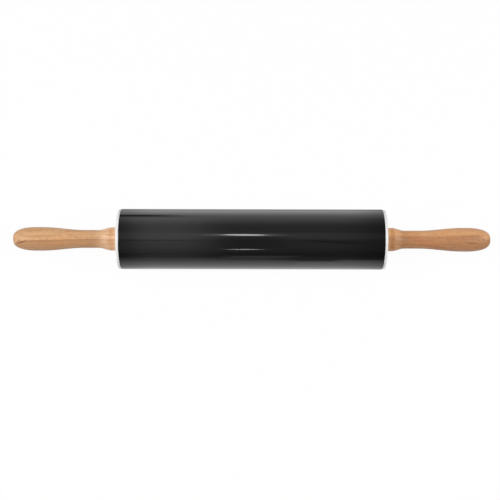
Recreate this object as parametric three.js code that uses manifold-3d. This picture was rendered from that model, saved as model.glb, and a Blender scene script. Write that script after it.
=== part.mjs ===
// A rolling pin with a coated steel roller that turns on a steel axle between two turned wooden handles.
// Millimetres. The axle lies along X, Z is up, and the origin is the middle of the axle.
import * as THREE from "three";
import { mergeVertices } from "three/addons/utils/BufferGeometryUtils.js";
import Module from "manifold-3d";

// Roller tube
const TUBE_DIAMETER = 57;
const TUBE_WALL = 1;
const TUBE_LENGTH = 245;
const TUBE_EDGE_ROUND = 0.4;

// End cap: a rim against the tube's end, and a ribbed plug inside the tube
const CAP_RIM_THICKNESS = 2.5;
const CAP_RIM_SETBACK = 0.4;
const CAP_RIM_ROUND = 0.9;
const CAP_PLUG_LENGTH = 14;
const CAP_PLUG_WALL = 1.8;
const CAP_PLUG_CHAMFER = 0.8;
const CAP_HUB_LENGTH = 16;
const CAP_HUB_WALL = 2.2;
const CAP_RIB_COUNT = 6;
const CAP_RIB_THICKNESS = 1.6;
const CAP_RIB_SETBACK = 3;
const CRUSH_RIB_COUNT = 12;
const CRUSH_RIB_HEIGHT = 0.3;
const CRUSH_RIB_WIDTH = 1.2;

// Flanged bush in the cap's hub
const BUSH_WALL = 2;
const BUSH_FLANGE_WIDTH = 2.9;
const BUSH_FLANGE_THICKNESS = 1.2;
const BUSH_CHAMFER = 0.4;

// Thrust washer between the bush and the handle
const WASHER_WIDTH = 4.4;
const WASHER_THICKNESS = 0.5;

// Axle rod, knurled where it is driven into the handles
const AXLE_DIAMETER = 8;
const AXLE_CHAMFER = 0.8;
const AXLE_GRIP_LENGTH = 45;
const KNURL_SETBACK = 14;
const KNURL_TEETH = 18;
const KNURL_HEIGHT = 0.2;

// Handle, turned from one piece of wood, from its inner face to its nose
const HANDLE_COLLAR_DIAMETER = 22;
const HANDLE_COLLAR_LENGTH = 5;
const HANDLE_COLLAR_CHAMFER = 0.6;
const HANDLE_COVE_LENGTH = 12;
const HANDLE_NECK_DIAMETER = 17;
const HANDLE_NECK_LENGTH = 12.8;
const HANDLE_SWELL_LENGTH = 42;
const HANDLE_GRIP_DIAMETER = 22.5;
const HANDLE_GRIP_LENGTH = 4.7;
const HANDLE_NOSE_LENGTH = 21.3;
const HANDLE_NOSE_LENGTH_EXPONENT = 2;
const HANDLE_NOSE_RADIUS_EXPONENT = 3.2;
const HANDLE_BORE_SPARE_DEPTH = 2;
const DRILL_POINT_ANGLE = 118;

// Clearances
const SEAT_CLEARANCE = 0.1;
const RUNNING_CLEARANCE = 0.1;
const END_PLAY = 0.15;

// Facets of the round pieces
const BARREL_SIDES = 48;
const HANDLE_SIDES = 32;
const SMALL_SIDES = 24;
const ROUND_STEPS = 3;
const CURVE_STEPS = 7;
const MERGE_DISTANCE = 1e-4;

// Radii and stations that follow from the sizes above. Stations run outwards from the middle of the axle.
const tubeRadius = TUBE_DIAMETER / 2;
const tubeBore = tubeRadius - TUBE_WALL;
const axleRadius = AXLE_DIAMETER / 2;
const bushBore = axleRadius + RUNNING_CLEARANCE;
const bushRadius = bushBore + BUSH_WALL;
const hubBore = bushRadius + SEAT_CLEARANCE;
const hubRadius = hubBore + CAP_HUB_WALL;
const knurlRadius = axleRadius + KNURL_HEIGHT;
const handleBore = knurlRadius + SEAT_CLEARANCE;
const tubeEnd = TUBE_LENGTH / 2;
const capFace = tubeEnd + SEAT_CLEARANCE + CAP_RIM_THICKNESS;
const bushFace = capFace + SEAT_CLEARANCE + BUSH_FLANGE_THICKNESS;
const washerSeat = bushFace + END_PLAY;
const handleFace = washerSeat + WASHER_THICKNESS + END_PLAY;
const axleEnd = handleFace + AXLE_GRIP_LENGTH;

const wasm = await Module();
wasm.setup();

const materials = {
  coating: new THREE.MeshStandardMaterial({ color: 0x18171a, roughness: 0.28, metalness: 0 }),
  capPlastic: new THREE.MeshStandardMaterial({ color: 0xe8e2db, roughness: 0.4, metalness: 0 }),
  bushPlastic: new THREE.MeshStandardMaterial({ color: 0xf1eee6, roughness: 0.5, metalness: 0 }),
  axleSteel: new THREE.MeshStandardMaterial({ color: 0xb4b7bb, roughness: 0.35, metalness: 1 }),
  washerSteel: new THREE.MeshStandardMaterial({ color: 0xc3c4c6, roughness: 0.3, metalness: 1 }),
  paleWood: new THREE.MeshStandardMaterial({ color: 0xd2a078, roughness: 0.55, metalness: 0 }),
  redWood: new THREE.MeshStandardMaterial({ color: 0xbf8a62, roughness: 0.55, metalness: 0 }),
};

// Turns a profile about local Y. Its points are [radius, station], and its outside is drawn towards +Y.
// The facets are centred on the Z axis, so that a flat one faces straight down.
function turned(profile, sides) {
  const points = profile.map(([radius, station]) => new THREE.Vector2(radius, station));
  return new THREE.LatheGeometry(points, sides, Math.PI / sides);
}

// The corner radius of a faceted bore whose flats touch the true circle, so that its shaft keeps clear.
function bored(radius, sides) {
  return radius / Math.cos(Math.PI / sides);
}

// A closed ring profile, which ends where it starts.
function ring(profile) {
  return [...profile, profile[0]];
}

// Points of a rounded outside corner, from the side of a piece to its outer face.
function roundedCorner(radius, station, round) {
  const points = [];
  for (let step = 0; step <= ROUND_STEPS; step += 1) {
    const angle = (Math.PI / 2) * (step / ROUND_STEPS);
    points.push([radius - round * (1 - Math.cos(angle)), station - round * (1 - Math.sin(angle))]);
  }
  return points;
}

// Points of a smooth S-shaped change of radius, without its first point.
function blend(startRadius, endRadius, station, length) {
  const points = [];
  for (let step = 1; step <= CURVE_STEPS; step += 1) {
    const share = step / CURVE_STEPS;
    const rise = (1 - Math.cos(Math.PI * share)) / 2;
    points.push([startRadius + (endRadius - startRadius) * rise, station + length * share]);
  }
  return points;
}

// Points of a blunt nose, a quarter of a superellipse that ends on the axis, without its first point.
// A higher exponent makes it squarer along that direction.
function nose(radius, station, length, radiusExponent, lengthExponent) {
  const points = [];
  for (let step = 1; step <= CURVE_STEPS; step += 1) {
    const angle = (Math.PI / 2) * (step / CURVE_STEPS);
    const across = step === CURVE_STEPS ? 0 : Math.cos(angle) ** (2 / radiusExponent);
    points.push([radius * across, station + length * Math.sin(angle) ** (2 / lengthExponent)]);
  }
  return points;
}

function asSolid(geometry) {
  const bare = new THREE.BufferGeometry();
  bare.setAttribute("position", geometry.getAttribute("position"));
  bare.setIndex(geometry.index);
  const merged = mergeVertices(bare, MERGE_DISTANCE);
  const vertProperties = merged.getAttribute("position").array;
  const triVerts = new Uint32Array(merged.index.array);
  return new wasm.Manifold(new wasm.Mesh({ numProp: 3, vertProperties, triVerts }));
}

// Joins closed geometries that run into each other to one closed geometry.
function joined(first, ...others) {
  const solid = others.reduce((sum, other) => sum.add(asSolid(other)), asSolid(first));
  const mesh = solid.getMesh();
  const geometry = new THREE.BufferGeometry();
  geometry.setAttribute("position", new THREE.BufferAttribute(mesh.vertProperties, 3));
  geometry.setIndex(new THREE.BufferAttribute(mesh.triVerts, 1));
  geometry.computeVertexNormals();
  return geometry;
}

// Copies of a geometry, evenly spaced round local Y.
function aroundAxis(count, geometry) {
  const copies = [];
  for (let index = 0; index < count; index += 1) {
    copies.push(geometry.clone().rotateY((index / count) * 2 * Math.PI));
  }
  return copies;
}

function makeTube() {
  const bore = bored(tubeBore, BARREL_SIDES);
  const rightEdge = roundedCorner(tubeRadius, tubeEnd, TUBE_EDGE_ROUND);
  const leftEdge = rightEdge.map(([radius, station]) => [radius, -station]).reverse();
  return turned(ring([[bore, -tubeEnd], ...leftEdge, ...rightEdge, [bore, tubeEnd]]), BARREL_SIDES);
}

// Drawn from the tube's end: the rim stands outside it, and the plug, hub and ribs reach inwards.
function makeEndCap() {
  const rimRadius = tubeRadius - CAP_RIM_SETBACK;
  const plugRadius = tubeBore - SEAT_CLEARANCE - CRUSH_RIB_HEIGHT;
  const plugBore = plugRadius - CAP_PLUG_WALL;
  const rimSeat = SEAT_CLEARANCE;
  const face = rimSeat + CAP_RIM_THICKNESS;
  const bore = bored(hubBore, BARREL_SIDES);
  const body = turned(
    ring([
      [bore, rimSeat - CAP_HUB_LENGTH],
      [hubRadius, rimSeat - CAP_HUB_LENGTH],
      [hubRadius, rimSeat],
      [plugBore, rimSeat],
      [plugBore, rimSeat - CAP_PLUG_LENGTH],
      [plugRadius - CAP_PLUG_CHAMFER, rimSeat - CAP_PLUG_LENGTH],
      [plugRadius, rimSeat - CAP_PLUG_LENGTH + CAP_PLUG_CHAMFER],
      [plugRadius, rimSeat],
      [rimRadius, rimSeat],
      ...roundedCorner(rimRadius, face, CAP_RIM_ROUND),
      [bore, face],
    ]),
    BARREL_SIDES,
  );

  // Each stiffening rib runs half a wall deep into the hub, the plug and the rim.
  const ribStart = hubRadius - CAP_HUB_WALL / 2;
  const ribEnd = plugBore + CAP_PLUG_WALL / 2;
  const ribRoot = CAP_RIM_THICKNESS / 2;
  const ribHeight = CAP_PLUG_LENGTH - CAP_RIB_SETBACK;
  const rib = new THREE.BoxGeometry(ribEnd - ribStart, ribHeight + ribRoot, CAP_RIB_THICKNESS);
  rib.translate((ribStart + ribEnd) / 2, rimSeat + (ribRoot - ribHeight) / 2, 0);

  // Each crush rib runs half a wall deep into the plug and the rim, and stops short of the plug's chamfer.
  const crushStart = plugRadius - CAP_PLUG_WALL / 2;
  const crushEnd = plugRadius + CRUSH_RIB_HEIGHT;
  const crushLength = CAP_PLUG_LENGTH - CAP_PLUG_CHAMFER;
  const crushRib = new THREE.BoxGeometry(crushEnd - crushStart, crushLength + ribRoot, CRUSH_RIB_WIDTH);
  crushRib.translate((crushStart + crushEnd) / 2, rimSeat + (ribRoot - crushLength) / 2, 0);

  return joined(body, ...aroundAxis(CAP_RIB_COUNT, rib), ...aroundAxis(CRUSH_RIB_COUNT, crushRib));
}

// Drawn from the seat of its flange on the cap's face, with the sleeve reaching inwards to the hub's end.
function makeBush() {
  const sleeveEnd = -(CAP_RIM_THICKNESS + CAP_HUB_LENGTH + SEAT_CLEARANCE);
  const flangeRadius = bushRadius + BUSH_FLANGE_WIDTH;
  const bore = bored(bushBore, SMALL_SIDES);
  return turned(
    ring([
      [bore, sleeveEnd],
      [bushRadius - BUSH_CHAMFER, sleeveEnd],
      [bushRadius, sleeveEnd + BUSH_CHAMFER],
      [bushRadius, 0],
      [flangeRadius, 0],
      [flangeRadius, BUSH_FLANGE_THICKNESS - BUSH_CHAMFER],
      [flangeRadius - BUSH_CHAMFER, BUSH_FLANGE_THICKNESS],
      [bore, BUSH_FLANGE_THICKNESS],
    ]),
    SMALL_SIDES,
  );
}

function makeWasher() {
  const bore = bored(bushBore, SMALL_SIDES);
  const outside = bushBore + WASHER_WIDTH;
  return turned(
    ring([
      [bore, 0],
      [outside, 0],
      [outside, WASHER_THICKNESS],
      [bore, WASHER_THICKNESS],
    ]),
    SMALL_SIDES,
  );
}

// A straight knurl: a star of teeth, pushed out along the axle from local Y = 0.
function makeKnurl(length) {
  const root = axleRadius * Math.cos(Math.PI / SMALL_SIDES) - KNURL_HEIGHT;
  const outline = [];
  for (let index = 0; index < 2 * KNURL_TEETH; index += 1) {
    const radius = index % 2 === 0 ? knurlRadius : root;
    const angle = (index / KNURL_TEETH) * Math.PI;
    outline.push(new THREE.Vector2(radius * Math.cos(angle), radius * Math.sin(angle)));
  }
  const star = new THREE.Shape(outline);
  const knurl = new THREE.ExtrudeGeometry(star, { depth: length, bevelEnabled: false });
  return knurl.rotateX(-Math.PI / 2);
}

function makeAxle() {
  const rod = turned(
    [
      [0, -axleEnd],
      [axleRadius - AXLE_CHAMFER, -axleEnd],
      [axleRadius, AXLE_CHAMFER - axleEnd],
      [axleRadius, axleEnd - AXLE_CHAMFER],
      [axleRadius - AXLE_CHAMFER, axleEnd],
      [0, axleEnd],
    ],
    SMALL_SIDES,
  );
  const knurlStart = handleFace + KNURL_SETBACK;
  const knurlEnd = axleEnd - AXLE_CHAMFER;
  const knurl = makeKnurl(knurlEnd - knurlStart);
  return joined(rod, knurl.clone().translate(0, knurlStart, 0), knurl.clone().translate(0, -knurlEnd, 0));
}

// Drawn from its inner face outwards, round a blind bore that ends in the drill's point.
function makeHandle() {
  const collar = HANDLE_COLLAR_DIAMETER / 2;
  const neck = HANDLE_NECK_DIAMETER / 2;
  const grip = HANDLE_GRIP_DIAMETER / 2;
  const bore = bored(handleBore, HANDLE_SIDES);
  const boreDepth = AXLE_GRIP_LENGTH + HANDLE_BORE_SPARE_DEPTH;
  const drillPoint = bore / Math.tan(THREE.MathUtils.degToRad(DRILL_POINT_ANGLE / 2));
  const coveEnd = HANDLE_COLLAR_LENGTH + HANDLE_COVE_LENGTH;
  const swellStart = coveEnd + HANDLE_NECK_LENGTH;
  const gripStart = swellStart + HANDLE_SWELL_LENGTH;
  const noseStart = gripStart + HANDLE_GRIP_LENGTH;
  return turned(
    [
      [0, boreDepth + drillPoint],
      [bore, boreDepth],
      [bore, 0],
      [collar - HANDLE_COLLAR_CHAMFER, 0],
      [collar, HANDLE_COLLAR_CHAMFER],
      [collar, HANDLE_COLLAR_LENGTH],
      ...blend(collar, neck, HANDLE_COLLAR_LENGTH, HANDLE_COVE_LENGTH),
      [neck, swellStart],
      ...blend(neck, grip, swellStart, HANDLE_SWELL_LENGTH),
      [grip, noseStart],
      ...nose(
        grip,
        noseStart,
        HANDLE_NOSE_LENGTH,
        HANDLE_NOSE_RADIUS_EXPONENT,
        HANDLE_NOSE_LENGTH_EXPONENT,
      ),
    ],
    HANDLE_SIDES,
  );
}

function piece(name, geometry, material, station) {
  const mesh = new THREE.Mesh(geometry, material);
  mesh.name = name;
  mesh.position.y = station;
  return mesh;
}

// The pieces at one end of the pin, with local Y pointing outwards along the axle.
function makeEnd(side, wood) {
  const end = new THREE.Group();
  end.add(
    piece(`${side}_end_cap`, makeEndCap(), materials.capPlastic, tubeEnd),
    piece(`${side}_axle_bush`, makeBush(), materials.bushPlastic, capFace + SEAT_CLEARANCE),
    piece(`${side}_thrust_washer`, makeWasher(), materials.washerSteel, washerSeat),
    piece(`${side}_handle`, makeHandle(), wood, handleFace),
  );
  return end;
}

const middle = new THREE.Group();
middle.add(piece("barrel_tube", makeTube(), materials.coating, 0));
middle.add(piece("axle_rod", makeAxle(), materials.axleSteel, 0));
middle.rotation.z = -Math.PI / 2;

const rightEnd = makeEnd("right", materials.redWood);
rightEnd.rotation.z = -Math.PI / 2;

const leftEnd = makeEnd("left", materials.paleWood);
leftEnd.rotation.z = Math.PI / 2;

const rollingPin = new THREE.Group();
rollingPin.add(middle, rightEnd, leftEnd);

export default rollingPin;
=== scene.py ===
# A rolling pin: a glossy black roller with white end caps turns on a steel axle between wooden handles.
# Metres. The axle lies along X, Z is up, and the origin is the middle of the axle.
import math

import bmesh
import bpy
from mathutils import Matrix, Vector


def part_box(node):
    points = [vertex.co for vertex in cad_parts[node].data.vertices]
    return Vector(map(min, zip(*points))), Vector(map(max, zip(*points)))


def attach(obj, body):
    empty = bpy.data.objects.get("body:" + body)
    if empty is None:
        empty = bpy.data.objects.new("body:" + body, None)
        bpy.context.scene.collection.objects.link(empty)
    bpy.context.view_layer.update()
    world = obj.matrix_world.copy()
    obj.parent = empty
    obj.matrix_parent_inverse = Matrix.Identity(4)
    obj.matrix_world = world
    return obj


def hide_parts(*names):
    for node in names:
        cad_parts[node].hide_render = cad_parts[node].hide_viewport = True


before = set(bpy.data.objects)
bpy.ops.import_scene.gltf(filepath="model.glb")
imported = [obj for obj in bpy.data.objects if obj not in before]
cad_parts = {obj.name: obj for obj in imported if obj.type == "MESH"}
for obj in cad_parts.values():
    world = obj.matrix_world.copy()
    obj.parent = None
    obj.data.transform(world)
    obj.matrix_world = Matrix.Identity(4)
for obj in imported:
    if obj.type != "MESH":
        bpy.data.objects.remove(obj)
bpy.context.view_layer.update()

# Sizes of the pieces that their boxes don't give
TUBE_WALL = 0.001
TUBE_EDGE_ROUND = 0.0004
TUBE_EDGE_SUPPORT = 0.001
CAP_RIM_THICKNESS = 0.0025
CAP_RIM_ROUND = 0.0009
CAP_PLUG_LENGTH = 0.014
CAP_PLUG_WALL = 0.0018
CAP_PLUG_CHAMFER = 0.0008
CAP_HUB_WALL = 0.0022
CAP_RIB_COUNT = 6
CAP_RIB_THICKNESS = 0.0016
CAP_RIB_SETBACK = 0.003
CRUSH_RIB_COUNT = 12
CRUSH_RIB_HEIGHT = 0.0003
CRUSH_RIB_WIDTH = 0.0012
BUSH_WALL = 0.002
BUSH_FLANGE_THICKNESS = 0.0012
BUSH_CHAMFER = 0.0004
WASHER_EDGE_ROUND = 0.00015
AXLE_RADIUS = 0.004
AXLE_GRIP_LENGTH = 0.045
KNURL_HEIGHT = 0.0002
COLLAR_LENGTH = 0.005
COLLAR_EDGE_ROUND = 0.0006
COVE_LENGTH = 0.012
NECK_LENGTH = 0.0128
SWELL_LENGTH = 0.042
NOSE_LENGTH = 0.0213
NOSE_LENGTH_EXPONENT = 2
NOSE_RADIUS_EXPONENT = 3.2
GRIP_DIAMETER = 0.0225
COLLAR_DIAMETER = 0.022
NECK_DIAMETER = 0.017
BORE_SPARE_DEPTH = 0.002
DRILL_POINT_ANGLE = math.radians(118)
SEAT_CLEARANCE = 0.0001
RUNNING_CLEARANCE = 0.0001

# Fineness of the meshes
BARREL_SIDES = 256
CAP_SIDES = 192
HANDLE_SIDES = 128
SMALL_SIDES = 96
ROUND_STEPS = 8
CURVE_STEPS = 40
SHARP_ANGLE = math.radians(30)

# Materials in general: the part of a noise's range that is stretched to its full effect, and the sockets
# of a node that mixes colours
NOISE_SPAN = (0.3, 0.7)
NOISE_DETAIL = 2
MIX_FACTOR = 0
MIX_FIRST = 6
MIX_SECOND = 7
MIX_RESULT = 2
WHITE = (1, 1, 1, 1)

# Coating of the roller. A mark's size is its length along X and its width across it.
COATING_COLOURS = ((0.002, 0.002, 0.0022), (0.004, 0.0039, 0.004))
COATING_ROUGHNESS = (0.055, 0.075)
COATING_IOR = 1.6
TOP_COAT_IOR = 1.5
COATING_STREAK = (0.15, 0.003)
COATING_PEEL = (0.0014, 0.0014)
COATING_PEEL_SEED = 3
COATING_CLOUD = (0.05, 0.02)
COATING_CLOUD_SEED = 7
COATING_PEEL_SHARE = 0.15
COATING_RELIEF = 0.0000025

# White plastics
CAP_COLOURS = ((0.89, 0.885, 0.875), (0.92, 0.915, 0.905))
CAP_ROUGHNESS = (0.36, 0.44)
CAP_IOR = 1.49
CAP_FLOW = (0.02, 0.008)
CAP_SPARK = (0.0003, 0.0003)
CAP_SPARK_SEED = 5
CAP_RELIEF = 0.000012
BUSH_COLOURS = ((0.80, 0.78, 0.72), (0.85, 0.83, 0.78))
BUSH_ROUGHNESS = (0.42, 0.52)
BUSH_IOR = 1.48
BUSH_CLOUD = (0.004, 0.004)
BUSH_RELIEF = 0.00001

# Steel
STEEL_ROUGHNESS = (0.24, 0.38)
STEEL_STREAK_SHADE = 0.85
STEEL_STREAK_DETAIL = 4
STEEL_RELIEF = 0.000004
WASHER_SHADE = (0.56, 0.56, 0.55)
WASHER_STREAK = (0.0004, 0.0004)
AXLE_SHADE = (0.47, 0.47, 0.48)
AXLE_STREAK = (0.03, 0.0003)

# Marks in the wood: length along the grain, width across it, detail and seed
WOOD_MARKS = {
    "waves": (0.07, 0.02, 1, 0),
    "streaks": (0.05, 0.0016, 3, 0),
    "fibres": (0.014, 0.0004, 2, 2),
    "clouds": (0.02, 0.007, 1, 5),
    "figure": (0.003, 0.0024, 1, 15),
    "vessels": (0.006, 0.0003, 1, 9),
    "lathe": (0.0005, 0.04, 1, 12),
}
RING_RADIUS = 0.06
RING_SWAY = 0.0006
HEART_RIM = (-0.0035, 0.0)
LATE_WOOD = (0.35, 0.97)
LATE_TONE = 0.34
RING_TONE = 0.16
TONE_BASE = 0.19
STREAK_TONE = (-0.42, 0.42)
FIBRE_TONE = (-0.13, 0.13)
BLUSH_EDGE = (0.45, 0.7)
BLUSH_DEPTH = 0.55
VESSEL_EDGE = (0.64, 0.74)
VESSEL_DEPTH = 0.5
VESSEL_SHADE = 0.45
END_GRAIN_SLOPE = (0.6, 1.0)
END_GRAIN_DEPTH = 0.1
END_GRAIN_SHADE = 0.8
KNOT_EDGE = (0.5, 1.1)
KNOT_RAGGED = 0.3
KNOT_REACH = 3.0
KNOT_BEND = 0.0012
KNOT_COLOUR = (0.2, 0.085, 0.03)
COLLAR_BAND_START = (0.0022, 0.0032)
COLLAR_BAND_END = (0.0060, 0.0072)
COLLAR_BAND_TINT = (0.865, 0.76, 0.63)
WOOD_ROUGHNESS = (0.46, 0.58)
WOOD_IOR = 1.45
WOOD_SHEEN = 0.2
WOOD_SHEEN_ROUGHNESS = 0.4
WOOD_FIBRE_RELIEF = 0.3
WOOD_LATHE_RELIEF = 0.3
WOOD_RELIEF = 0.00003

# The two woods. Sap and heart are each a pale and a dark colour, and the blush and the collar are tints.
# The collar's tint is partly paler wood and partly a painted highlight of the light on its cove.
# The growth and the knot's place turn round the axle, and the knot itself turns about Z. The rings bend
# by tip_bend near the tip, within tip_reach of it.
PALE_WOOD = {
    "side": -1,
    "sap": ((0.74, 0.43, 0.22), (0.58, 0.295, 0.125)),
    "heart": ((0.583, 0.312, 0.149), (0.46, 0.23, 0.10)),
    "blush": (1.03, 0.94, 0.84),
    "figure_tone": 0.21,
    "growth_turn": math.radians(73),
    "ring_spacing": 0.0046,
    "ring_strength": 1.0,
    "grain_lean": 0.021,
    "tip_bend": 0.0034,
    "tip_reach": (0.002, 0.008),
    "heart_edge": 0.0039,
    "heart_softness": 0.0003,
    "sap_grain": 1.0,
    "heart_grain": 0.5,
    "heart_rim": 0.6,
    "knot_from_tip": 0.0105,
    "knot_place_turn": math.radians(56.8),
    "knot_size": (0.0058, 0.0009, 0.005),
    "knot_turn": math.radians(15),
    "knot_depth": 0.72,
    # Collar tint: partly paler wood, partly a painted highlight on the cove
    "collar": (1.33, 1.48, 1.77),
    "collar_fade": (0.0085, 0.024),
    "collar_heart": 0.5,
    "collar_band": 0.62,
    "seed": 1.3,
}
RED_WOOD = {
    "side": 1,
    "sap": ((0.77, 0.41, 0.195), (0.59, 0.277, 0.114)),
    "heart": ((0.525, 0.253, 0.112), (0.37, 0.163, 0.068)),
    "blush": (1.0, 0.81, 0.70),
    "figure_tone": 0.19,
    "growth_turn": math.radians(87.3),
    "ring_spacing": 0.0031,
    "ring_strength": 0.5,
    "grain_lean": 0.012,
    "tip_bend": 0.0035,
    "tip_reach": (0.006, 0.014),
    "heart_edge": 0.0022,
    "heart_softness": 0.0045,
    "sap_grain": 0.65,
    "heart_grain": 0.75,
    "heart_rim": 0.0,
    "knot_from_tip": 0.0186,
    "knot_place_turn": math.radians(55.8),
    "knot_size": (0.0055, 0.0006, 0.004),
    "knot_turn": math.radians(3),
    "knot_depth": 0.5,
    # Collar tint: partly paler wood, partly a painted highlight on the cove
    "collar": (1.27, 1.36, 1.45),
    "collar_fade": (0.0085, 0.0155),
    "collar_heart": 1.0,
    "collar_band": 1.0,
    "seed": 4.1,
}

# Camera
CAMERA_ELEVATION = math.radians(73)
CAMERA_DISTANCE = 0.85
CAMERA_ROLL = math.radians(0.13)
PHOTO_WIDTH = 500
PHOTO_PIN_CENTRE = (251.7, 239.3)
PIXELS_PER_METRE = 1057.6
SENSOR_WIDTH = 36

# Paper that the pin lies on, a sheet that curves up to a wall. Its shares say how much of it glows, for
# the camera and in reflections. What follows them is painted light and shade in the paper's glow, which
# reflections alone show: painted shadow of the pin under and just behind it, a painted pool of light, the
# beam, whose near front has a notch of painted shadow, painted falloff far behind, up the wall and in
# front
# on the right, and painted reflections of a doorway, a strip light and a panel. A pair is a soft edge:
# slopes along X for the lit front, the notch, the beam and the sides of the panel, heights for tops,
# bottoms and the lean, and places along X or Y for the rest. The notch shifts both ends of the near front
# along Y, and the right end of the paper shifts its first end. A slope on the paper is X by the distance
# from the middle of the sheet and BEAM_START together.
STAGE_RADIUS = 6
STAGE_CURVE = 0.8
STAGE_HEIGHT = 2.0
STAGE_SIDES = 96
PAPER_COLOUR = (0.9, 0.9, 0.9, 1)
PAPER_SEEN_SHARE = 0.97
PAPER_GLOW_SHARE = 0.94
# Painted shadow of the pin on the paper, seen in reflections
PAPER_PIN_SHADOW = (-0.02, 0.04)
PAPER_PIN_SHADOW_LEVEL = 0.43
PAPER_BACK = (0.08, 0.11)
PAPER_BACK_LEVEL = 0.88
PAPER_FAR_BACK = (0.4, 3.0)
PAPER_FAR_BACK_DIM = 0.84
PAPER_NEAR_FRONT = (-0.265, -0.02)
PAPER_NEAR_FRONT_LEVEL = 0.68
PAPER_NOTCH_LEFT_EDGE = (0.046, 0.058)
PAPER_NOTCH_RIGHT_EDGE = (0.093, 0.106)
PAPER_NOTCH_SHIFT = (0.075, -0.06)
PAPER_RIGHT_SHIFT = -0.065
PAPER_FAR_FRONT = (-1.2, -0.35)
PAPER_FAR_FRONT_LEVEL = 0.08
PAPER_LIT_FRONT = (0.0, 0.06)
PAPER_LIT_FRONT_RISE = 0.12
PAPER_WALL_DIM = 0.76
BEAM_START = 0.75
BEAM_EDGE = (0.108, 0.16)
BEAM_DIM = 0.6
DOORWAY_ALONG = (-0.8, -0.4)
DOORWAY_BACK = (1.0, 4.0)
DOORWAY_BOTTOM = (0.05, 0.3)
DOORWAY_TOP = (0.8, 2.0)
DOORWAY_DEPTH = 0.86
PAPER_ROOM_FRONT = (-0.3, -0.12)
PAPER_STRIP = 0.11
PANEL_LEFT_EDGE = (-0.036, -0.014)
PANEL_RIGHT_EDGE = (0.026, 0.062)
PANEL_FRONT = (-3.0, -0.4)
PANEL_TOP = (0.4, 0.95)
PANEL_LEVEL = 0.21
PANEL_LEAN_HEIGHT = (0.0, 0.4)
PANEL_LEAN = 0.006

# Light of the room above the paper. What is left or right, a middle, a centre and a reach are slopes
# along X. What is in front or behind, and a rise, are angles from the front horizon over the pin, in
# degrees. Each of ROOM_RISES is two angles and the light gained between them. A rail's lean is radians
# by slope.
ROOM_LEVEL = 0.08
ROOM_RISES = ((10, 50, 0.072), (66, 80, 0.107), (90, 104, -0.08), (119, 171, 0.42))
ROOM_LEFT_START = (-0.19, -0.17)
ROOM_LEFT_END = (-0.15, -0.124)
ROOM_LEFT_DEPTH = 0.34
ROOM_RIGHT = (0.095, 0.165)
ROOM_RIGHT_DIM = 0.35
STRIP_LEFT_EDGE = (-0.148, -0.108)
STRIP_RIGHT_EDGE = (-0.085, -0.02)
STRIP_LOW = 0.098
STRIP_HIGH = 0.232
STRIP_RISE = (0, 80)
STRIP_BACK = (135, 165)
STRIP_BACK_DIM = 0.6
FLAG_LEFT_EDGE = (-0.045, -0.02)
FLAG_RIGHT_EDGE = (0.02, 0.052)
FLAG_FRONT_EDGE = (36, 44)
FLAG_BACK_EDGE = (80, 85)
FLAG_RISE = (66, 80)
FLAG_LOW_DEPTH = 0.045
FLAG_HIGH_DEPTH = 0.116
LEFT_RAIL = {
    "left_edge": (-0.2, -0.16),
    "right_edge": (-0.075, -0.055),
    "middle": -0.1,
    "lean": 0.0,
    "front_edge": (65.9, 67.1),
    "back_edge": (68.5, 69.7),
    "depth": 0.45,
}
RIGHT_RAIL = {
    "left_edge": (0.055, 0.075),
    "right_edge": (0.11, 0.125),
    "middle": 0.09,
    "lean": 3.6,
    "front_edge": (58.5, 61.5),
    "back_edge": (65.5, 68.5),
    "depth": 0.5,
}
GLOW_CENTRE = -0.0095
GLOW_REACH = (0.015, 0.058)
GLOW_FRONT_EDGE = (83.5, 85.5)
GLOW_BACK_EDGE = (91.5, 93.5)
GLOW_LEVEL = 0.52

# Lamps: sizes in metres, power in watts
SOFTBOX_SIDEWAYS = 1.15
SOFTBOX_FORWARDS = 0.18
SOFTBOX_HEIGHT = 1.15
SOFTBOX_SIZE = 0.9
LEFT_SOFTBOX_POWER = 17.6
RIGHT_SOFTBOX_POWER = 15.6
LAMP_DISTANCE = 0.83
LAMP_ALONG = -0.0115
UPPER_LAMP_ANGLE = math.radians(88.5)
UPPER_LAMP_SIZE = (0.08, 0.066)
UPPER_LAMP_POWER = 0.057
LOWER_LAMP_ANGLE = math.radians(34.1)
LOWER_LAMP_SIZE = (0.062, 0.02)
LOWER_LAMP_POWER = 0.017


# Meshes

def revolve(bm, profile, sides, closed):
    """Turns (station, radius) points about X. A closed profile joins its last point to its first."""
    rings = []
    for station, radius in profile:
        count = sides if radius > 0 else 1
        turns = [2 * math.pi * index / sides for index in range(count)]
        places = [(station, radius * math.sin(turn), radius * math.cos(turn)) for turn in turns]
        rings.append([bm.verts.new(place) for place in places])
    followers = rings[1:] + rings[:1] if closed else rings[1:]
    for ring, follower in zip(rings, followers):
        for index in range(sides):
            after = index + 1
            corners = [
                ring[index % len(ring)],
                ring[after % len(ring)],
                follower[after % len(follower)],
                follower[index % len(follower)],
            ]
            bm.faces.new(list(dict.fromkeys(corners)))
    bmesh.ops.recalc_face_normals(bm, faces=bm.faces)


def as_object(name, bm):
    """Puts a mesh into the scene as an object of its own."""
    mesh = bpy.data.meshes.new(name)
    bm.to_mesh(mesh)
    bm.free()
    made = bpy.data.objects.new(name, mesh)
    bpy.context.scene.collection.objects.link(made)
    return made


def smoothed(piece):
    """Shades the piece smooth, apart from its sharp edges."""
    mesh = piece.data
    mesh.polygons.foreach_set("use_smooth", [True] * len(mesh.polygons))
    mesh.set_sharp_from_angle(angle=SHARP_ANGLE)
    return piece


def turned(name, profile, sides, side=1, closed=True):
    """A turned piece. Side is 1 for the right end of the pin and -1 for the left."""
    bm = bmesh.new()
    revolve(bm, [(side * station, radius) for station, radius in profile], sides, closed)
    return as_object(name, bm)


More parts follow.
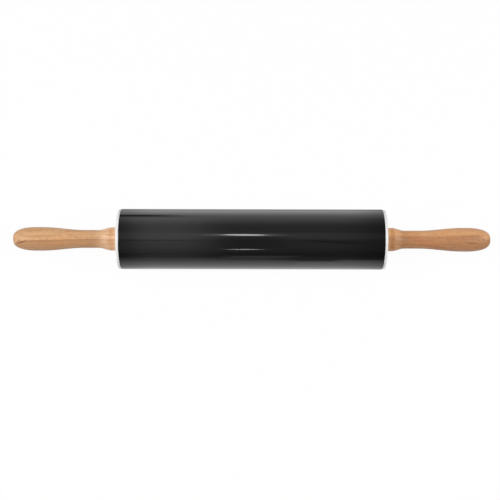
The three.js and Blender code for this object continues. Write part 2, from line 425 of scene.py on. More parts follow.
def rounded(station, radius, round_radius, outwards):
    """Points of a rounded outside edge, from a piece's side to its face that looks along +X or -X."""
    points = []
    for step in range(ROUND_STEPS + 1):
        angle = math.pi / 2 * step / ROUND_STEPS
        back = round_radius * (1 - math.sin(angle))
        drop = round_radius * (1 - math.cos(angle))
        points.append((station - outwards * back, radius - drop))
    return points


def eased(station, length, start_radius, end_radius):
    """Points of a smooth S-shaped change of radius, without its first point."""
    points = []
    for step in range(1, CURVE_STEPS + 1):
        share = step / CURVE_STEPS
        rise = (1 - math.cos(math.pi * share)) / 2
        points.append((station + length * share, start_radius + (end_radius - start_radius) * rise))
    return points


def nose(station, length, radius):
    """Points of a blunt nose, a quarter of a superellipse down to the axis, without its first point."""
    points = []
    for step in range(1, CURVE_STEPS + 1):
        angle = math.pi / 2 * step / CURVE_STEPS
        across = 0 if step == CURVE_STEPS else math.cos(angle) ** (2 / NOSE_RADIUS_EXPONENT)
        along = math.sin(angle) ** (2 / NOSE_LENGTH_EXPONENT)
        points.append((station + length * along, radius * across))
    return points


def above_axle(angle, distance, along=0.0):
    """A place round the axle, by its angle above the horizon on the viewer's side."""
    return (along, -distance * math.cos(angle), distance * math.sin(angle))


def on_nose(side, from_tip, angle):
    """A place on a handle's nose, by its distance from the tip along X and its angle round the axle."""
    _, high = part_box("right_handle")
    share = 1 - from_tip / NOSE_LENGTH
    radius = high.z * (1 - share ** NOSE_LENGTH_EXPONENT) ** (1 / NOSE_RADIUS_EXPONENT)
    return above_axle(angle, radius, side * (high.x - from_tip))


def boxes_round_axis(name, count, start, end, thickness):
    """Boxes set round X. Start and end are a box's (station, radius) corners."""
    bm = bmesh.new()
    size = Vector((end[0] - start[0], thickness, end[1] - start[1]))
    middle = Vector(((start[0] + end[0]) / 2, 0, (start[1] + end[1]) / 2))
    for index in range(count):
        turn = Matrix.Rotation(2 * math.pi * index / count, 4, "X")
        place = turn @ Matrix.Translation(middle) @ Matrix.Diagonal(size).to_4x4()
        bmesh.ops.create_cube(bm, size=1, matrix=place)
    bmesh.ops.recalc_face_normals(bm, faces=bm.faces)
    return as_object(name, bm)


def joined(piece, *others):
    """Joins pieces that run into each other to one closed mesh."""
    for other in others:
        union = piece.modifiers.new("union", "BOOLEAN")
        union.operation = "UNION"
        union.solver = "EXACT"
        union.object = other
    graph = bpy.context.evaluated_depsgraph_get()
    mesh = bpy.data.meshes.new_from_object(piece.evaluated_get(graph))
    piece.modifiers.clear()
    piece.data = mesh
    for other in others:
        bpy.data.objects.remove(other)
    return piece


# Pieces

def make_barrel():
    """The coated tube. A ring of points beside each rounded edge keeps the shading of its side even."""
    low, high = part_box("barrel_tube")
    bore = high.z - TUBE_WALL
    right_edge = [(high.x - TUBE_EDGE_SUPPORT, high.z), *rounded(high.x, high.z, TUBE_EDGE_ROUND, 1)]
    left_edge = [(-station, radius) for station, radius in reversed(right_edge)]
    profile = [(low.x, bore), *left_edge, *right_edge, (high.x, bore)]
    return turned("barrel_skin", profile, BARREL_SIDES)


def make_cap(side_name, side):
    """An end cap: a rim, a plug with a chamfer and crush ribs, a hub for the bush, and ribs between plug
    and hub."""
    _, tube_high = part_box("barrel_tube")
    cap_low, cap_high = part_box("right_end_cap")
    bush_bore = AXLE_RADIUS + RUNNING_CLEARANCE
    hub_bore = bush_bore + BUSH_WALL + SEAT_CLEARANCE
    hub_radius = hub_bore + CAP_HUB_WALL
    plug_radius = tube_high.z - TUBE_WALL - SEAT_CLEARANCE - CRUSH_RIB_HEIGHT
    plug_bore = plug_radius - CAP_PLUG_WALL
    seat = cap_high.x - CAP_RIM_THICKNESS
    plug_end = seat - CAP_PLUG_LENGTH
    body = turned(
        f"{side_name}_cap",
        [
            (cap_low.x, hub_bore),
            (cap_low.x, hub_radius),
            (seat, hub_radius),
            (seat, plug_bore),
            (plug_end, plug_bore),
            (plug_end, plug_radius - CAP_PLUG_CHAMFER),
            (plug_end + CAP_PLUG_CHAMFER, plug_radius),
            (seat, plug_radius),
            (seat, cap_high.z),
            *rounded(cap_high.x, cap_high.z, CAP_RIM_ROUND, 1),
            (cap_high.x, hub_bore),
        ],
        CAP_SIDES,
        side,
    )
    root = seat + CAP_RIM_THICKNESS / 2
    ribs = boxes_round_axis(
        "ribs",
        CAP_RIB_COUNT,
        (side * (plug_end + CAP_RIB_SETBACK), hub_radius - CAP_HUB_WALL / 2),
        (side * root, plug_bore + CAP_PLUG_WALL / 2),
        CAP_RIB_THICKNESS,
    )
    crush_ribs = boxes_round_axis(
        "crush_ribs",
        CRUSH_RIB_COUNT,
        (side * (plug_end + CAP_PLUG_CHAMFER), plug_radius - CAP_PLUG_WALL / 2),
        (side * root, plug_radius + CRUSH_RIB_HEIGHT),
        CRUSH_RIB_WIDTH,
    )
    return joined(body, ribs, crush_ribs)


def make_bush(side_name, side):
    """A flanged bush with a chamfered lead-in and a rounded flange."""
    low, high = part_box("right_axle_bush")
    bore = AXLE_RADIUS + RUNNING_CLEARANCE
    sleeve = bore + BUSH_WALL
    seat = high.x - BUSH_FLANGE_THICKNESS
    profile = [
        (low.x, bore),
        (low.x, sleeve - BUSH_CHAMFER),
        (low.x + BUSH_CHAMFER, sleeve),
        (seat, sleeve),
        (seat, high.z),
        *rounded(high.x, high.z, BUSH_CHAMFER, 1),
        (high.x, bore),
    ]
    return turned(f"{side_name}_bush", profile, SMALL_SIDES, side)


def make_washer(side_name, side):
    """A thrust washer with rounded outer edges."""
    low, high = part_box("right_thrust_washer")
    bore = AXLE_RADIUS + RUNNING_CLEARANCE
    outer_edge = rounded(high.x, high.z, WASHER_EDGE_ROUND, 1)
    inner_edge = rounded(low.x, high.z, WASHER_EDGE_ROUND, -1)
    profile = [(low.x, bore), *reversed(inner_edge), *outer_edge, (high.x, bore)]
    return turned(f"{side_name}_washer", profile, SMALL_SIDES, side)


def make_handle(side_name, side):
    """A turned handle: collar, cove, neck, swell and nose round a blind bore for the axle."""
    low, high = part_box("right_handle")
    grip = high.z
    collar = grip * COLLAR_DIAMETER / GRIP_DIAMETER
    neck = grip * NECK_DIAMETER / GRIP_DIAMETER
    bore = AXLE_RADIUS + KNURL_HEIGHT + SEAT_CLEARANCE
    bore_end = low.x + AXLE_GRIP_LENGTH + BORE_SPARE_DEPTH
    drill_point = bore / math.tan(DRILL_POINT_ANGLE / 2)
    cove_start = low.x + COLLAR_LENGTH
    neck_start = cove_start + COVE_LENGTH
    swell_start = neck_start + NECK_LENGTH
    nose_start = high.x - NOSE_LENGTH
    profile = [
        (bore_end + drill_point, 0),
        (bore_end, bore),
        (low.x, bore),
        *reversed(rounded(low.x, collar, COLLAR_EDGE_ROUND, -1)),
        (cove_start, collar),
        *eased(cove_start, COVE_LENGTH, collar, neck),
        (swell_start, neck),
        *eased(swell_start, SWELL_LENGTH, neck, grip),
        (nose_start, grip),
        *nose(nose_start, NOSE_LENGTH, grip),
    ]
    return turned(f"{side_name}_handle_wood", profile, HANDLE_SIDES, side, closed=False)


# Nodes of the materials

def new_material(name):
    material = bpy.data.materials.new(name)
    material.use_nodes = True
    material.node_tree.nodes.clear()
    return material, material.node_tree


def node(tree, kind, inputs=None, **settings):
    """Adds a node. An input is a socket to link from, or a plain value."""
    made = tree.nodes.new(kind)
    for key, value in settings.items():
        setattr(made, key, value)
    for key, value in (inputs or {}).items():
        if isinstance(value, bpy.types.NodeSocket):
            tree.links.new(value, made.inputs[key])
        else:
            made.inputs[key].default_value = value
    return made


def maths(tree, operation, first, second=0.0):
    return node(tree, "ShaderNodeMath", {0: first, 1: second}, operation=operation).outputs[0]


def added(tree, first, *others):
    for other in others:
        first = maths(tree, "ADD", first, other)
    return first


def times(tree, first, *others):
    for other in others:
        first = maths(tree, "MULTIPLY", first, other)
    return first


def ranged(tree, value, span, low=0.0, high=1.0):
    """Goes softly from low to high as the value goes from one end of the span to the other."""
    inputs = {"Value": value, "From Min": span[0], "From Max": span[1], "To Min": low, "To Max": high}
    made = node(tree, "ShaderNodeMapRange", inputs, interpolation_type="SMOOTHSTEP")
    return made.outputs["Result"]


def between(tree, value, start, end):
    """1 between two soft edges and 0 outside them."""
    return maths(tree, "SUBTRACT", ranged(tree, value, start), ranged(tree, value, end))


def without(tree, share):
    """What a share leaves of 1."""
    return maths(tree, "SUBTRACT", 1.0, share)


def from_noise(tree, noise, low_and_high):
    """Stretches a noise to a low and a high value."""
    return ranged(tree, noise, NOISE_SPAN, *low_and_high)


def mixed(tree, factor, first, second, blend="MIX"):
    """Mixes two colours, each a socket or three plain numbers."""
    inputs = {MIX_FACTOR: factor}
    for key, colour in ((MIX_FIRST, first), (MIX_SECOND, second)):
        linked = isinstance(colour, bpy.types.NodeSocket)
        inputs[key] = colour if linked else (*colour, 1)
    made = node(tree, "ShaderNodeMix", inputs, data_type="RGBA", blend_type=blend)
    return made.outputs[MIX_RESULT]


def shaded(colour, share):
    """A share of a colour's brightness."""
    return tuple(share * part for part in colour)


def stretched_noise(tree, place, size, detail=NOISE_DETAIL, seed=0):
    """Noise whose features have one size along X and another across it."""
    along, across = size
    scale = (1 / along, 1 / across, 1 / across)
    spread = node(tree, "ShaderNodeMapping", {"Vector": place, "Location": (seed,) * 3, "Scale": scale})
    inputs = {"Vector": spread.outputs[0], "Scale": 1.0, "Detail": detail}
    return node(tree, "ShaderNodeTexNoise", inputs).outputs[0]


def bumped(tree, height, depth):
    """A normal bent by a height from 0 to 1 that stands for a depth in metres."""
    return node(tree, "ShaderNodeBump", {"Height": height, "Distance": depth, "Strength": 1.0}).outputs[0]


def finish_surface(tree, inputs):
    shader = node(tree, "ShaderNodeBsdfPrincipled", inputs)
    node(tree, "ShaderNodeOutputMaterial", {"Surface": shader.outputs[0]})


def object_place(tree):
    return node(tree, "ShaderNodeTexCoord").outputs["Object"]


def parts_of(tree, vector):
    return node(tree, "ShaderNodeSeparateXYZ", {"Vector": vector}).outputs


def length_of(tree, vector):
    return node(tree, "ShaderNodeVectorMath", {0: vector}, operation="LENGTH").outputs["Value"]


# Materials

def nonstick_coating():
    """Sprayed glossy black under a clear top coat: faint drawn streaks of the tube below, and a slight
    orange peel."""
    material, tree = new_material("nonstick_coating")
    place = object_place(tree)
    streaks = stretched_noise(tree, place, COATING_STREAK)
    peel = stretched_noise(tree, place, COATING_PEEL, seed=COATING_PEEL_SEED)
    cloud = stretched_noise(tree, place, COATING_CLOUD, seed=COATING_CLOUD_SEED)
    height = added(tree, streaks, times(tree, peel, COATING_PEEL_SHARE))
    roughness = from_noise(tree, cloud, COATING_ROUGHNESS)
    normal = bumped(tree, height, COATING_RELIEF)
    finish_surface(tree, {
        "Base Color": mixed(tree, cloud, *COATING_COLOURS),
        "Roughness": roughness,
        "IOR": COATING_IOR,
        "Normal": normal,
        "Coat Weight": 1.0,
        "Coat Roughness": roughness,
        "Coat IOR": TOP_COAT_IOR,
        "Coat Normal": normal,
    })
    return material


def cap_plastic():
    """Moulded warm white plastic with a fine spark texture."""
    material, tree = new_material("cap_plastic")
    place = object_place(tree)
    flow = stretched_noise(tree, place, CAP_FLOW)
    spark = stretched_noise(tree, place, CAP_SPARK, seed=CAP_SPARK_SEED)
    finish_surface(tree, {
        "Base Color": mixed(tree, flow, *CAP_COLOURS),
        "Roughness": from_noise(tree, flow, CAP_ROUGHNESS),
        "IOR": CAP_IOR,
        "Normal": bumped(tree, spark, CAP_RELIEF),
    })
    return material


def bush_plastic():
    """Natural bearing plastic, slightly waxy."""
    material, tree = new_material("bush_plastic")
    cloud = stretched_noise(tree, object_place(tree), BUSH_CLOUD)
    finish_surface(tree, {
        "Base Color": mixed(tree, cloud, *BUSH_COLOURS),
        "Roughness": from_noise(tree, cloud, BUSH_ROUGHNESS),
        "IOR": BUSH_IOR,
        "Normal": bumped(tree, cloud, BUSH_RELIEF),
    })
    return material


def steel(name, shade, streak):
    """Drawn or plated steel. Its fine marks are as long and as wide as the streak says."""
    material, tree = new_material(name)
    streaks = stretched_noise(tree, object_place(tree), streak, STEEL_STREAK_DETAIL)
    finish_surface(tree, {
        "Base Color": mixed(tree, streaks, shaded(shade, STEEL_STREAK_SHADE), shade),
        "Metallic": 1.0,
        "Roughness": from_noise(tree, streaks, STEEL_ROUGHNESS),
        "Normal": bumped(tree, streaks, STEEL_RELIEF),
    })
    return material


def wood_marks(tree, place, seed):
    """The noises of a piece of wood, by name."""
    marks = {}
    for name, (length, width, detail, seed_step) in WOOD_MARKS.items():
        marks[name] = stretched_noise(tree, place, (length, width), detail, seed + seed_step)
    return marks


def knot_distance(tree, place, look):
    """How far a point is from the middle of the knot, in half sizes of the knot."""
    inputs = {
        "Vector": place,
        "Location": on_nose(look["side"], look["knot_from_tip"], look["knot_place_turn"]),
        "Rotation": (0, 0, look["knot_turn"]),
        "Scale": look["knot_size"],
    }
    from_knot = node(tree, "ShaderNodeMapping", inputs, vector_type="TEXTURE").outputs[0]
    return length_of(tree, from_knot)


def distance_from_tip(tree, place):
    """How far a point of a handle is from the tip, along X."""
    _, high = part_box("right_handle")
    along = maths(tree, "ABSOLUTE", parts_of(tree, place)["X"])
    return maths(tree, "SUBTRACT", high.x, along)


def growth_height(tree, place, look, knot_far, waves):
    """How far out in the tree a point lay, from the axle. The tree grew towards the side that growth_turn
    names. Its rings are bowed, lean along the handle, and bend round the knot and at the tip."""
    inputs = {"Vector": place, "Rotation": (look["growth_turn"], 0, 0)}
    across = parts_of(tree, node(tree, "ShaderNodeMapping", inputs).outputs[0])
    bow = times(tree, across["Y"], across["Y"], 1 / (2 * RING_RADIUS))
    lean = times(tree, across["X"], -look["grain_lean"])
    sway = from_noise(tree, waves, (-RING_SWAY / 2, RING_SWAY / 2))
    bend = ranged(tree, knot_far, (0.0, KNOT_REACH), KNOT_BEND, 0.0)
    tip = ranged(tree, distance_from_tip(tree, place), look["tip_reach"], look["tip_bend"], 0.0)
    return added(tree, across["Z"], bow, lean, sway, bend, tip)


def ring_tone(tree, depth, spacing):
    """Darkens towards the end of each year's ring, and some rings more than others."""
    rings = maths(tree, "DIVIDE", depth, spacing)
    late = ranged(tree, maths(tree, "FRACT", rings), LATE_WOOD)
    number = maths(tree, "FLOOR", rings)
    chance = node(tree, "ShaderNodeTexWhiteNoise", {"W": number}, noise_dimensions="1D").outputs["Value"]
    return added(tree, times(tree, late, LATE_TONE), times(tree, chance, RING_TONE))


def distance_from_face(tree, place):
    """How far a point of a handle is from the face that looks at the roller."""
    low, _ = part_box("right_handle")
    along = maths(tree, "ABSOLUTE", parts_of(tree, place)["X"])
    return maths(tree, "SUBTRACT", along, low.x)


def pale_collar_and_painted_highlight(tree, from_face, colour, look):
    """Pales the wood at the collar and its cove, partly as paler wood and partly as a painted highlight
    of the light on the cove, and polishes a warmer band round the collar's edge.
    """
    pale = ranged(tree, from_face, look["collar_fade"], 1.0, 0.0)
    band = between(tree, from_face, COLLAR_BAND_START, COLLAR_BAND_END)
    colour = mixed(tree, pale, colour, look["collar"], "MULTIPLY")
    return mixed(tree, times(tree, band, look["collar_band"]), colour, COLLAR_BAND_TINT, "MULTIPLY")


def wood_tone(tree, marks, depth, in_heart, look):
    """From 0 for pale wood to 1 for dark: rings, streaks, a mottled figure, the heart's darker rim and
    fibres."""
    rings = times(tree, ring_tone(tree, depth, look["ring_spacing"]), look["ring_strength"])
    streaks = from_noise(tree, marks["streaks"], STREAK_TONE)
    figure = from_noise(tree, marks["figure"], (-look["figure_tone"], look["figure_tone"]))
    fibres = from_noise(tree, marks["fibres"], FIBRE_TONE)
    grain = ranged(tree, in_heart, (0.0, 1.0), look["sap_grain"], look["heart_grain"])
    rim = times(tree, ranged(tree, depth, HEART_RIM, 0.0, look["heart_rim"]), in_heart)
    marked = times(tree, added(tree, rings, streaks, figure), grain)
    return added(tree, marked, fibres, rim, TONE_BASE)


def knot_share(tree, knot_far, fibres, look):
    """How much of a point is knot. Fibres make the knot's edge ragged."""
    ragged = added(tree, knot_far, from_noise(tree, fibres, (-KNOT_RAGGED, KNOT_RAGGED)))
    return ranged(tree, ragged, KNOT_EDGE, look["knot_depth"], 0.0)


def end_grain_share(tree, normal):
    """How much of a point is end grain, which shows where the surface faces along X."""
    slope = maths(tree, "ABSOLUTE", parts_of(tree, normal)["X"])
    return ranged(tree, slope, END_GRAIN_SLOPE, 0.0, END_GRAIN_DEPTH)


def wood_relief(tree, marks, vessels):
    """Raised fibres, sunk vessels and the lathe's faint rings, as one height."""
    relief = maths(tree, "SUBTRACT", times(tree, marks["fibres"], WOOD_FIBRE_RELIEF), vessels)
    return added(tree, relief, times(tree, marks["lathe"], WOOD_LATHE_RELIEF))


def wood(name, look):
    """Turned hardwood with its grain along X: sapwood over heartwood, blushes, vessels, end grain, a knot
    and a collar that is paler, partly as wood and partly as a painted highlight on its cove."""
    material, tree = new_material(name)
    coordinates = node(tree, "ShaderNodeTexCoord").outputs
    place = coordinates["Object"]
    marks = wood_marks(tree, place, look["seed"])
    knot_far = knot_distance(tree, place, look)
    height = growth_height(tree, place, look, knot_far, marks["waves"])
    depth = maths(tree, "SUBTRACT", height, look["heart_edge"])
    from_face = distance_from_face(tree, place)
    heart_share = ranged(tree, from_face, look["collar_fade"], look["collar_heart"], 1.0)
    in_heart = ranged(tree, depth, (-look["heart_softness"], 0.0), heart_share, 0.0)
    blush = ranged(tree, marks["clouds"], BLUSH_EDGE, 0.0, BLUSH_DEPTH)
    vessels = ranged(tree, marks["vessels"], VESSEL_EDGE)
    end_grain = end_grain_share(tree, coordinates["Normal"])
    in_knot = knot_share(tree, knot_far, marks["fibres"], look)
    tone = wood_tone(tree, marks, depth, in_heart, look)

    dark_heart = look["heart"][1]
    pale = mixed(tree, in_heart, look["sap"][0], look["heart"][0])
    dark = mixed(tree, in_heart, look["sap"][1], dark_heart)
    colour = mixed(tree, tone, pale, dark)
    colour = mixed(tree, blush, colour, look["blush"], "MULTIPLY")
    colour = mixed(tree, times(tree, vessels, VESSEL_DEPTH), colour, shaded(dark_heart, VESSEL_SHADE))
    colour = mixed(tree, end_grain, colour, shaded(dark_heart, END_GRAIN_SHADE))
    colour = mixed(tree, in_knot, colour, KNOT_COLOUR)
    finish_surface(tree, {
        "Base Color": pale_collar_and_painted_highlight(tree, from_face, colour, look),
        "Roughness": from_noise(tree, marks["streaks"], WOOD_ROUGHNESS),
        "IOR": WOOD_IOR,
        "Sheen Weight": WOOD_SHEEN,
        "Sheen Roughness": WOOD_SHEEN_ROUGHNESS,
        "Normal": bumped(tree, wood_relief(tree, marks, vessels), WOOD_RELIEF),
    })
    return material


# Stage, lights and camera

def make_floor():
    """A round sheet of white paper that curves up to a wall at its edge."""
    low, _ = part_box("barrel_tube")
    profile = [(0, 0)]
    for step in range(ROUND_STEPS + 1):
        angle = math.pi / 2 * step / ROUND_STEPS
        rise = STAGE_CURVE * (1 - math.cos(angle))
        profile.append((rise, STAGE_RADIUS - STAGE_CURVE * (1 - math.sin(angle))))
    profile.append((STAGE_HEIGHT, STAGE_RADIUS))
    bm = bmesh.new()
    revolve(bm, profile, STAGE_SIDES, False)
    upright = Matrix.Rotation(-math.pi / 2, 3, "Y")
    bmesh.ops.rotate(bm, verts=bm.verts, matrix=upright)
    floor = smoothed(as_object("floor", bm))
    floor.location.z = low.z
    floor.data.materials.append(floor_paper())


def left_strip(tree, slope):
    """A tall strip light on the left, by the slope along X of the way to it."""
    return between(tree, slope, STRIP_LEFT_EDGE, STRIP_RIGHT_EDGE)


def painted_doorway_shade(tree, along):
    """The share of the paper's glow that a painted dark doorway, seen only in reflections behind the pin
    on the left, takes away.
    """
    return times(
        tree,
        ranged(tree, along["X"], DOORWAY_ALONG, DOORWAY_DEPTH, 0.0),
        ranged(tree, along["Y"], DOORWAY_BACK),
        between(tree, along["Z"], DOORWAY_BOTTOM, DOORWAY_TOP),
    )


def painted_panel_glow(tree, along, slope):
    """A painted lit panel on the paper far in front of the pin, seen only in reflections, which leans to
    the right as it rises.
    """
    lean = ranged(tree, along["Z"], PANEL_LEAN_HEIGHT, PANEL_LEAN, -PANEL_LEAN)
    return times(
        tree,
        between(tree, added(tree, slope, lean), PANEL_LEFT_EDGE, PANEL_RIGHT_EDGE),
        ranged(tree, along["Y"], PANEL_FRONT, PANEL_LEVEL, 0.0),
        ranged(tree, along["Z"], PANEL_TOP, 1.0, 0.0),
    )


def painted_paper_level(tree, along, slope):
    """Painted light and shade on the paper from front to back, for reflections: a painted pool of light
    in front whose front edge has a notch of painted shadow, painted shadow of the pin under and just
    behind it, and brighter paper further behind.
    """
    lit = ranged(tree, slope, PAPER_LIT_FRONT, PAPER_LIT_FRONT_RISE, 0.0)
    far = added(tree, ranged(tree, along["Y"], PAPER_FAR_FRONT, 0.0, lit), PAPER_FAR_FRONT_LEVEL)
    # The notch is painted shadow at the front edge of the painted pool of light
    notch = between(tree, slope, PAPER_NOTCH_LEFT_EDGE, PAPER_NOTCH_RIGHT_EDGE)
    right_end = ranged(tree, slope, PAPER_NOTCH_RIGHT_EDGE, 0.0, PAPER_RIGHT_SHIFT)
    front_edge = (
        added(tree, times(tree, notch, PAPER_NOTCH_SHIFT[0]), right_end, PAPER_NEAR_FRONT[0]),
        added(tree, times(tree, notch, PAPER_NOTCH_SHIFT[1]), PAPER_NEAR_FRONT[1]),
    )
    near = ranged(tree, along["Y"], front_edge, far, PAPER_NEAR_FRONT_LEVEL)
    # Painted shadow of the pin on the paper under and just behind it
    under = ranged(tree, along["Y"], PAPER_PIN_SHADOW, 0.0, PAPER_PIN_SHADOW_LEVEL - PAPER_NEAR_FRONT_LEVEL)
    behind = ranged(tree, along["Y"], PAPER_BACK, 0.0, PAPER_BACK_LEVEL - PAPER_PIN_SHADOW_LEVEL)
    return added(tree, near, under, behind)


def painted_paper_reflection(tree):
    """Painted light and shade on the paper, seen only in reflections: painted falloff far behind, up the
    wall, beside a painted beam of light and in front on the right, with the painted doorway, a painted
    reflection of the strip light and the painted panel."""
    place = object_place(tree)
    along = parts_of(tree, place)
    slope = maths(tree, "DIVIDE", along["X"], added(tree, length_of(tree, place), BEAM_START))
    in_front = ranged(tree, along["Y"], PAPER_ROOM_FRONT, 1.0, 0.0)
    right = times(tree, in_front, ranged(tree, slope, ROOM_RIGHT, 0.0, 1 - ROOM_RIGHT_DIM))
    level = times(
        tree,
        painted_paper_level(tree, along, slope),
        ranged(tree, along["Y"], PAPER_FAR_BACK, 1.0, PAPER_FAR_BACK_DIM),
        ranged(tree, along["Z"], (0.0, STAGE_HEIGHT), 1.0, PAPER_WALL_DIM),
        ranged(tree, maths(tree, "ABSOLUTE", slope), BEAM_EDGE, 1.0, BEAM_DIM),
        without(tree, painted_doorway_shade(tree, along)),
        without(tree, right),
    )
    # A painted reflection of the strip light on the paper in front
    strip = times(tree, left_strip(tree, slope), in_front, PAPER_STRIP)
    return added(tree, level, strip, painted_panel_glow(tree, along, slope))


def floor_paper():
    """White paper that keeps a soft shadow."""
    material, tree = new_material("floor_paper")
    rays = node(tree, "ShaderNodeLightPath").outputs
    reflected = maths(tree, "MAXIMUM", rays["Is Glossy Ray"], rays["Is Transmission Ray"])
    # For reflections the paper glows with painted light and shade
    strength = maths(tree, "MAXIMUM", rays["Is Camera Ray"], painted_paper_reflection(tree))
    paper = node(tree, "ShaderNodeBsdfDiffuse", {"Color": PAPER_COLOUR})
    glow = node(tree, "ShaderNodeEmission", {"Color": WHITE, "Strength": strength})
    share = maths(
        tree,
        "MAXIMUM",
        times(tree, rays["Is Camera Ray"], PAPER_SEEN_SHARE),
        times(tree, reflected, PAPER_GLOW_SHARE),
    )
    both = node(tree, "ShaderNodeMixShader", {0: share, 1: paper.outputs[0], 2: glow.outputs[0]})
    node(tree, "ShaderNodeOutputMaterial", {"Surface": both.outputs[0]})
    return material


def radians_of(edge):
    return tuple(math.radians(degrees) for degrees in edge)


def dark_rail(tree, slope, angle, rail):
    """The share of the light that a dark rail overhead, which may lean, lets by."""
    shift = times(tree, added(tree, slope, -rail["middle"]), rail["lean"])
    shade = times(
        tree,
        between(tree, slope, rail["left_edge"], rail["right_edge"]),
        between(
            tree,
            added(tree, angle, shift),
            radians_of(rail["front_edge"]),
            radians_of(rail["back_edge"]),
        ),
        rail["depth"],
    )
    return without(tree, shade)


def overhead_flag(tree, slope, angle):
    """A dark flag overhead, as a light below zero."""
    return times(
        tree,
        between(tree, slope, FLAG_LEFT_EDGE, FLAG_RIGHT_EDGE),
        between(tree, angle, radians_of(FLAG_FRONT_EDGE), radians_of(FLAG_BACK_EDGE)),
        ranged(tree, angle, radians_of(FLAG_RISE), -FLAG_LOW_DEPTH, -FLAG_HIGH_DEPTH),
    )


def lamp_glow(tree, slope, angle):
    """The glow round the upper lamp."""
    from_lamp = maths(tree, "ABSOLUTE", added(tree, slope, -GLOW_CENTRE))
    return times(
        tree,
        ranged(tree, from_lamp, GLOW_REACH, GLOW_LEVEL, 0.0),
        between(tree, angle, radians_of(GLOW_FRONT_EDGE), radians_of(GLOW_BACK_EDGE)),
    )


def room_strip(tree, slope, angle):
    """The strip light above the paper, brighter overhead and dimmer behind the pin."""
    return times(
        tree,
        left_strip(tree, slope),
        ranged(tree, angle, radians_of(STRIP_RISE), STRIP_LOW, STRIP_HIGH),
        ranged(tree, angle, radians_of(STRIP_BACK), 1.0, STRIP_BACK_DIM),
    )


def room_level(tree, slope, angle):
    """The plain room: dim in front and on the right, bright behind, with a dark band on the left."""
    rises = [ranged(tree, angle, radians_of((start, end)), 0.0, rise) for start, end, rise in ROOM_RISES]
    band = times(tree, between(tree, slope, ROOM_LEFT_START, ROOM_LEFT_END), ROOM_LEFT_DEPTH)
    return times(
        tree,
        added(tree, *rises, ROOM_LEVEL),
        without(tree, band),
        ranged(tree, slope, ROOM_RIGHT, 1.0, ROOM_RIGHT_DIM),
    )


def make_world():
    """A soft room above the paper, with a flag, the glow of a lamp, a strip light and two dark rails."""
    world = bpy.data.worlds.new("studio")
    bpy.context.scene.world = world
    world.use_nodes = True
    tree = world.node_tree
    tree.nodes.clear()
    along = parts_of(tree, node(tree, "ShaderNodeTexCoord").outputs["Generated"])
    slope = along["X"]
    angle = maths(tree, "ARCTAN2", along["Z"], times(tree, along["Y"], -1.0))
    level = added(
        tree,
        room_level(tree, slope, angle),
        overhead_flag(tree, slope, angle),
        lamp_glow(tree, slope, angle),
        room_strip(tree, slope, angle),
    )
    rails = [dark_rail(tree, slope, angle, rail) for rail in (LEFT_RAIL, RIGHT_RAIL)]
    level = times(tree, level, *rails)
    light = node(tree, "ShaderNodeBackground", {"Color": WHITE, "Strength": level})
    node(tree, "ShaderNodeOutputWorld", {"Surface": light.outputs[0]})


def make_lamp(name, place, size, power, shape):
    """A soft lamp that shines at the middle of the axle."""
    lamp = bpy.data.lights.new(name, "AREA")
    lamp.shape = shape
    lamp.size, lamp.size_y = size
    lamp.energy = power
    made = bpy.data.objects.new(name, lamp)
    made.location = place
    made.rotation_mode = "QUATERNION"
    made.rotation_quaternion = (-Vector(place)).to_track_quat("-Z", "Y")
    made.visible_camera = False
    bpy.context.scene.collection.objects.link(made)


def make_lights():
    """A softbox on each side, and two small lamps whose streaks show on the roller."""
    for name, side, power in (("left", -1, LEFT_SOFTBOX_POWER), ("right", 1, RIGHT_SOFTBOX_POWER)):
        place = (side * SOFTBOX_SIDEWAYS, -SOFTBOX_FORWARDS, SOFTBOX_HEIGHT)
        make_lamp(f"{name}_softbox", place, (SOFTBOX_SIZE, SOFTBOX_SIZE), power, "RECTANGLE")
    upper_place = above_axle(UPPER_LAMP_ANGLE, LAMP_DISTANCE, LAMP_ALONG)
    make_lamp("upper_lamp", upper_place, UPPER_LAMP_SIZE, UPPER_LAMP_POWER, "ELLIPSE")
    lower_place = above_axle(LOWER_LAMP_ANGLE, LAMP_DISTANCE, LAMP_ALONG)
    make_lamp("lower_lamp", lower_place, LOWER_LAMP_SIZE, LOWER_LAMP_POWER, "ELLIPSE")


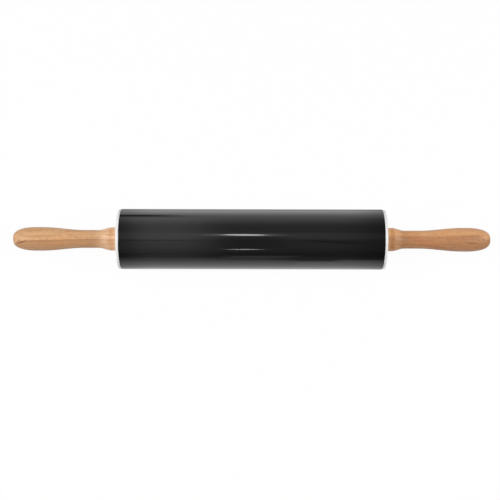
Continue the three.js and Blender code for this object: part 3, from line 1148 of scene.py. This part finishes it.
def make_camera():
    """Looks down at the pin, which lies a little off the middle of the picture."""
    back = Vector(above_axle(CAMERA_ELEVATION, 1.0))
    right = Vector((1, 0, 0))
    up = back.cross(right)
    across = (PHOTO_WIDTH / 2 - PHOTO_PIN_CENTRE[0]) / PIXELS_PER_METRE
    along = (PHOTO_PIN_CENTRE[1] - PHOTO_WIDTH / 2) / PIXELS_PER_METRE
    lens = bpy.data.cameras.new("camera")
    lens.sensor_width = SENSOR_WIDTH
    lens.lens = SENSOR_WIDTH * PIXELS_PER_METRE * CAMERA_DISTANCE / PHOTO_WIDTH
    camera = bpy.data.objects.new("camera", lens)
    turn = Matrix((right, up, back)).transposed() @ Matrix.Rotation(CAMERA_ROLL, 3, "Z")
    place = back * CAMERA_DISTANCE + right * across + up * along
    camera.matrix_world = Matrix.Translation(place) @ turn.to_4x4()
    bpy.context.scene.collection.objects.link(camera)
    bpy.context.scene.camera = camera


# Assembly

def dress(piece, body, node_name, material):
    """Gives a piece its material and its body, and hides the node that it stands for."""
    smoothed(piece)
    piece.data.materials.clear()
    piece.data.materials.append(material)
    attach(piece, body)
    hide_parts(node_name)


def make_pin():
    """Makes every piece from the middle outwards. The axle keeps its own solid."""
    white = cap_plastic()
    waxy = bush_plastic()
    plated = steel("washer_steel", WASHER_SHADE, WASHER_STREAK)
    dress(make_barrel(), "roller", "barrel_tube", nonstick_coating())
    for side_name, slot, look in (("left", "pale_wood", PALE_WOOD), ("right", "red_wood", RED_WOOD)):
        side = look["side"]
        cap = make_cap(side_name, side)
        dress(cap, "roller", f"{side_name}_end_cap", white)
        bush = make_bush(side_name, side)
        dress(bush, "roller", f"{side_name}_axle_bush", waxy)
        washer = make_washer(side_name, side)
        dress(washer, "axle_and_handles", f"{side_name}_thrust_washer", plated)
        handle = make_handle(side_name, side)
        dress(handle, "axle_and_handles", f"{side_name}_handle", wood(slot, look))
    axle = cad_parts["axle_rod"]
    axle.data.materials.clear()
    axle.data.materials.append(steel("axle_steel", AXLE_SHADE, AXLE_STREAK))


make_pin()
make_floor()
make_world()
make_lights()
make_camera()
bpy.context.scene.view_settings.view_transform = "Standard"
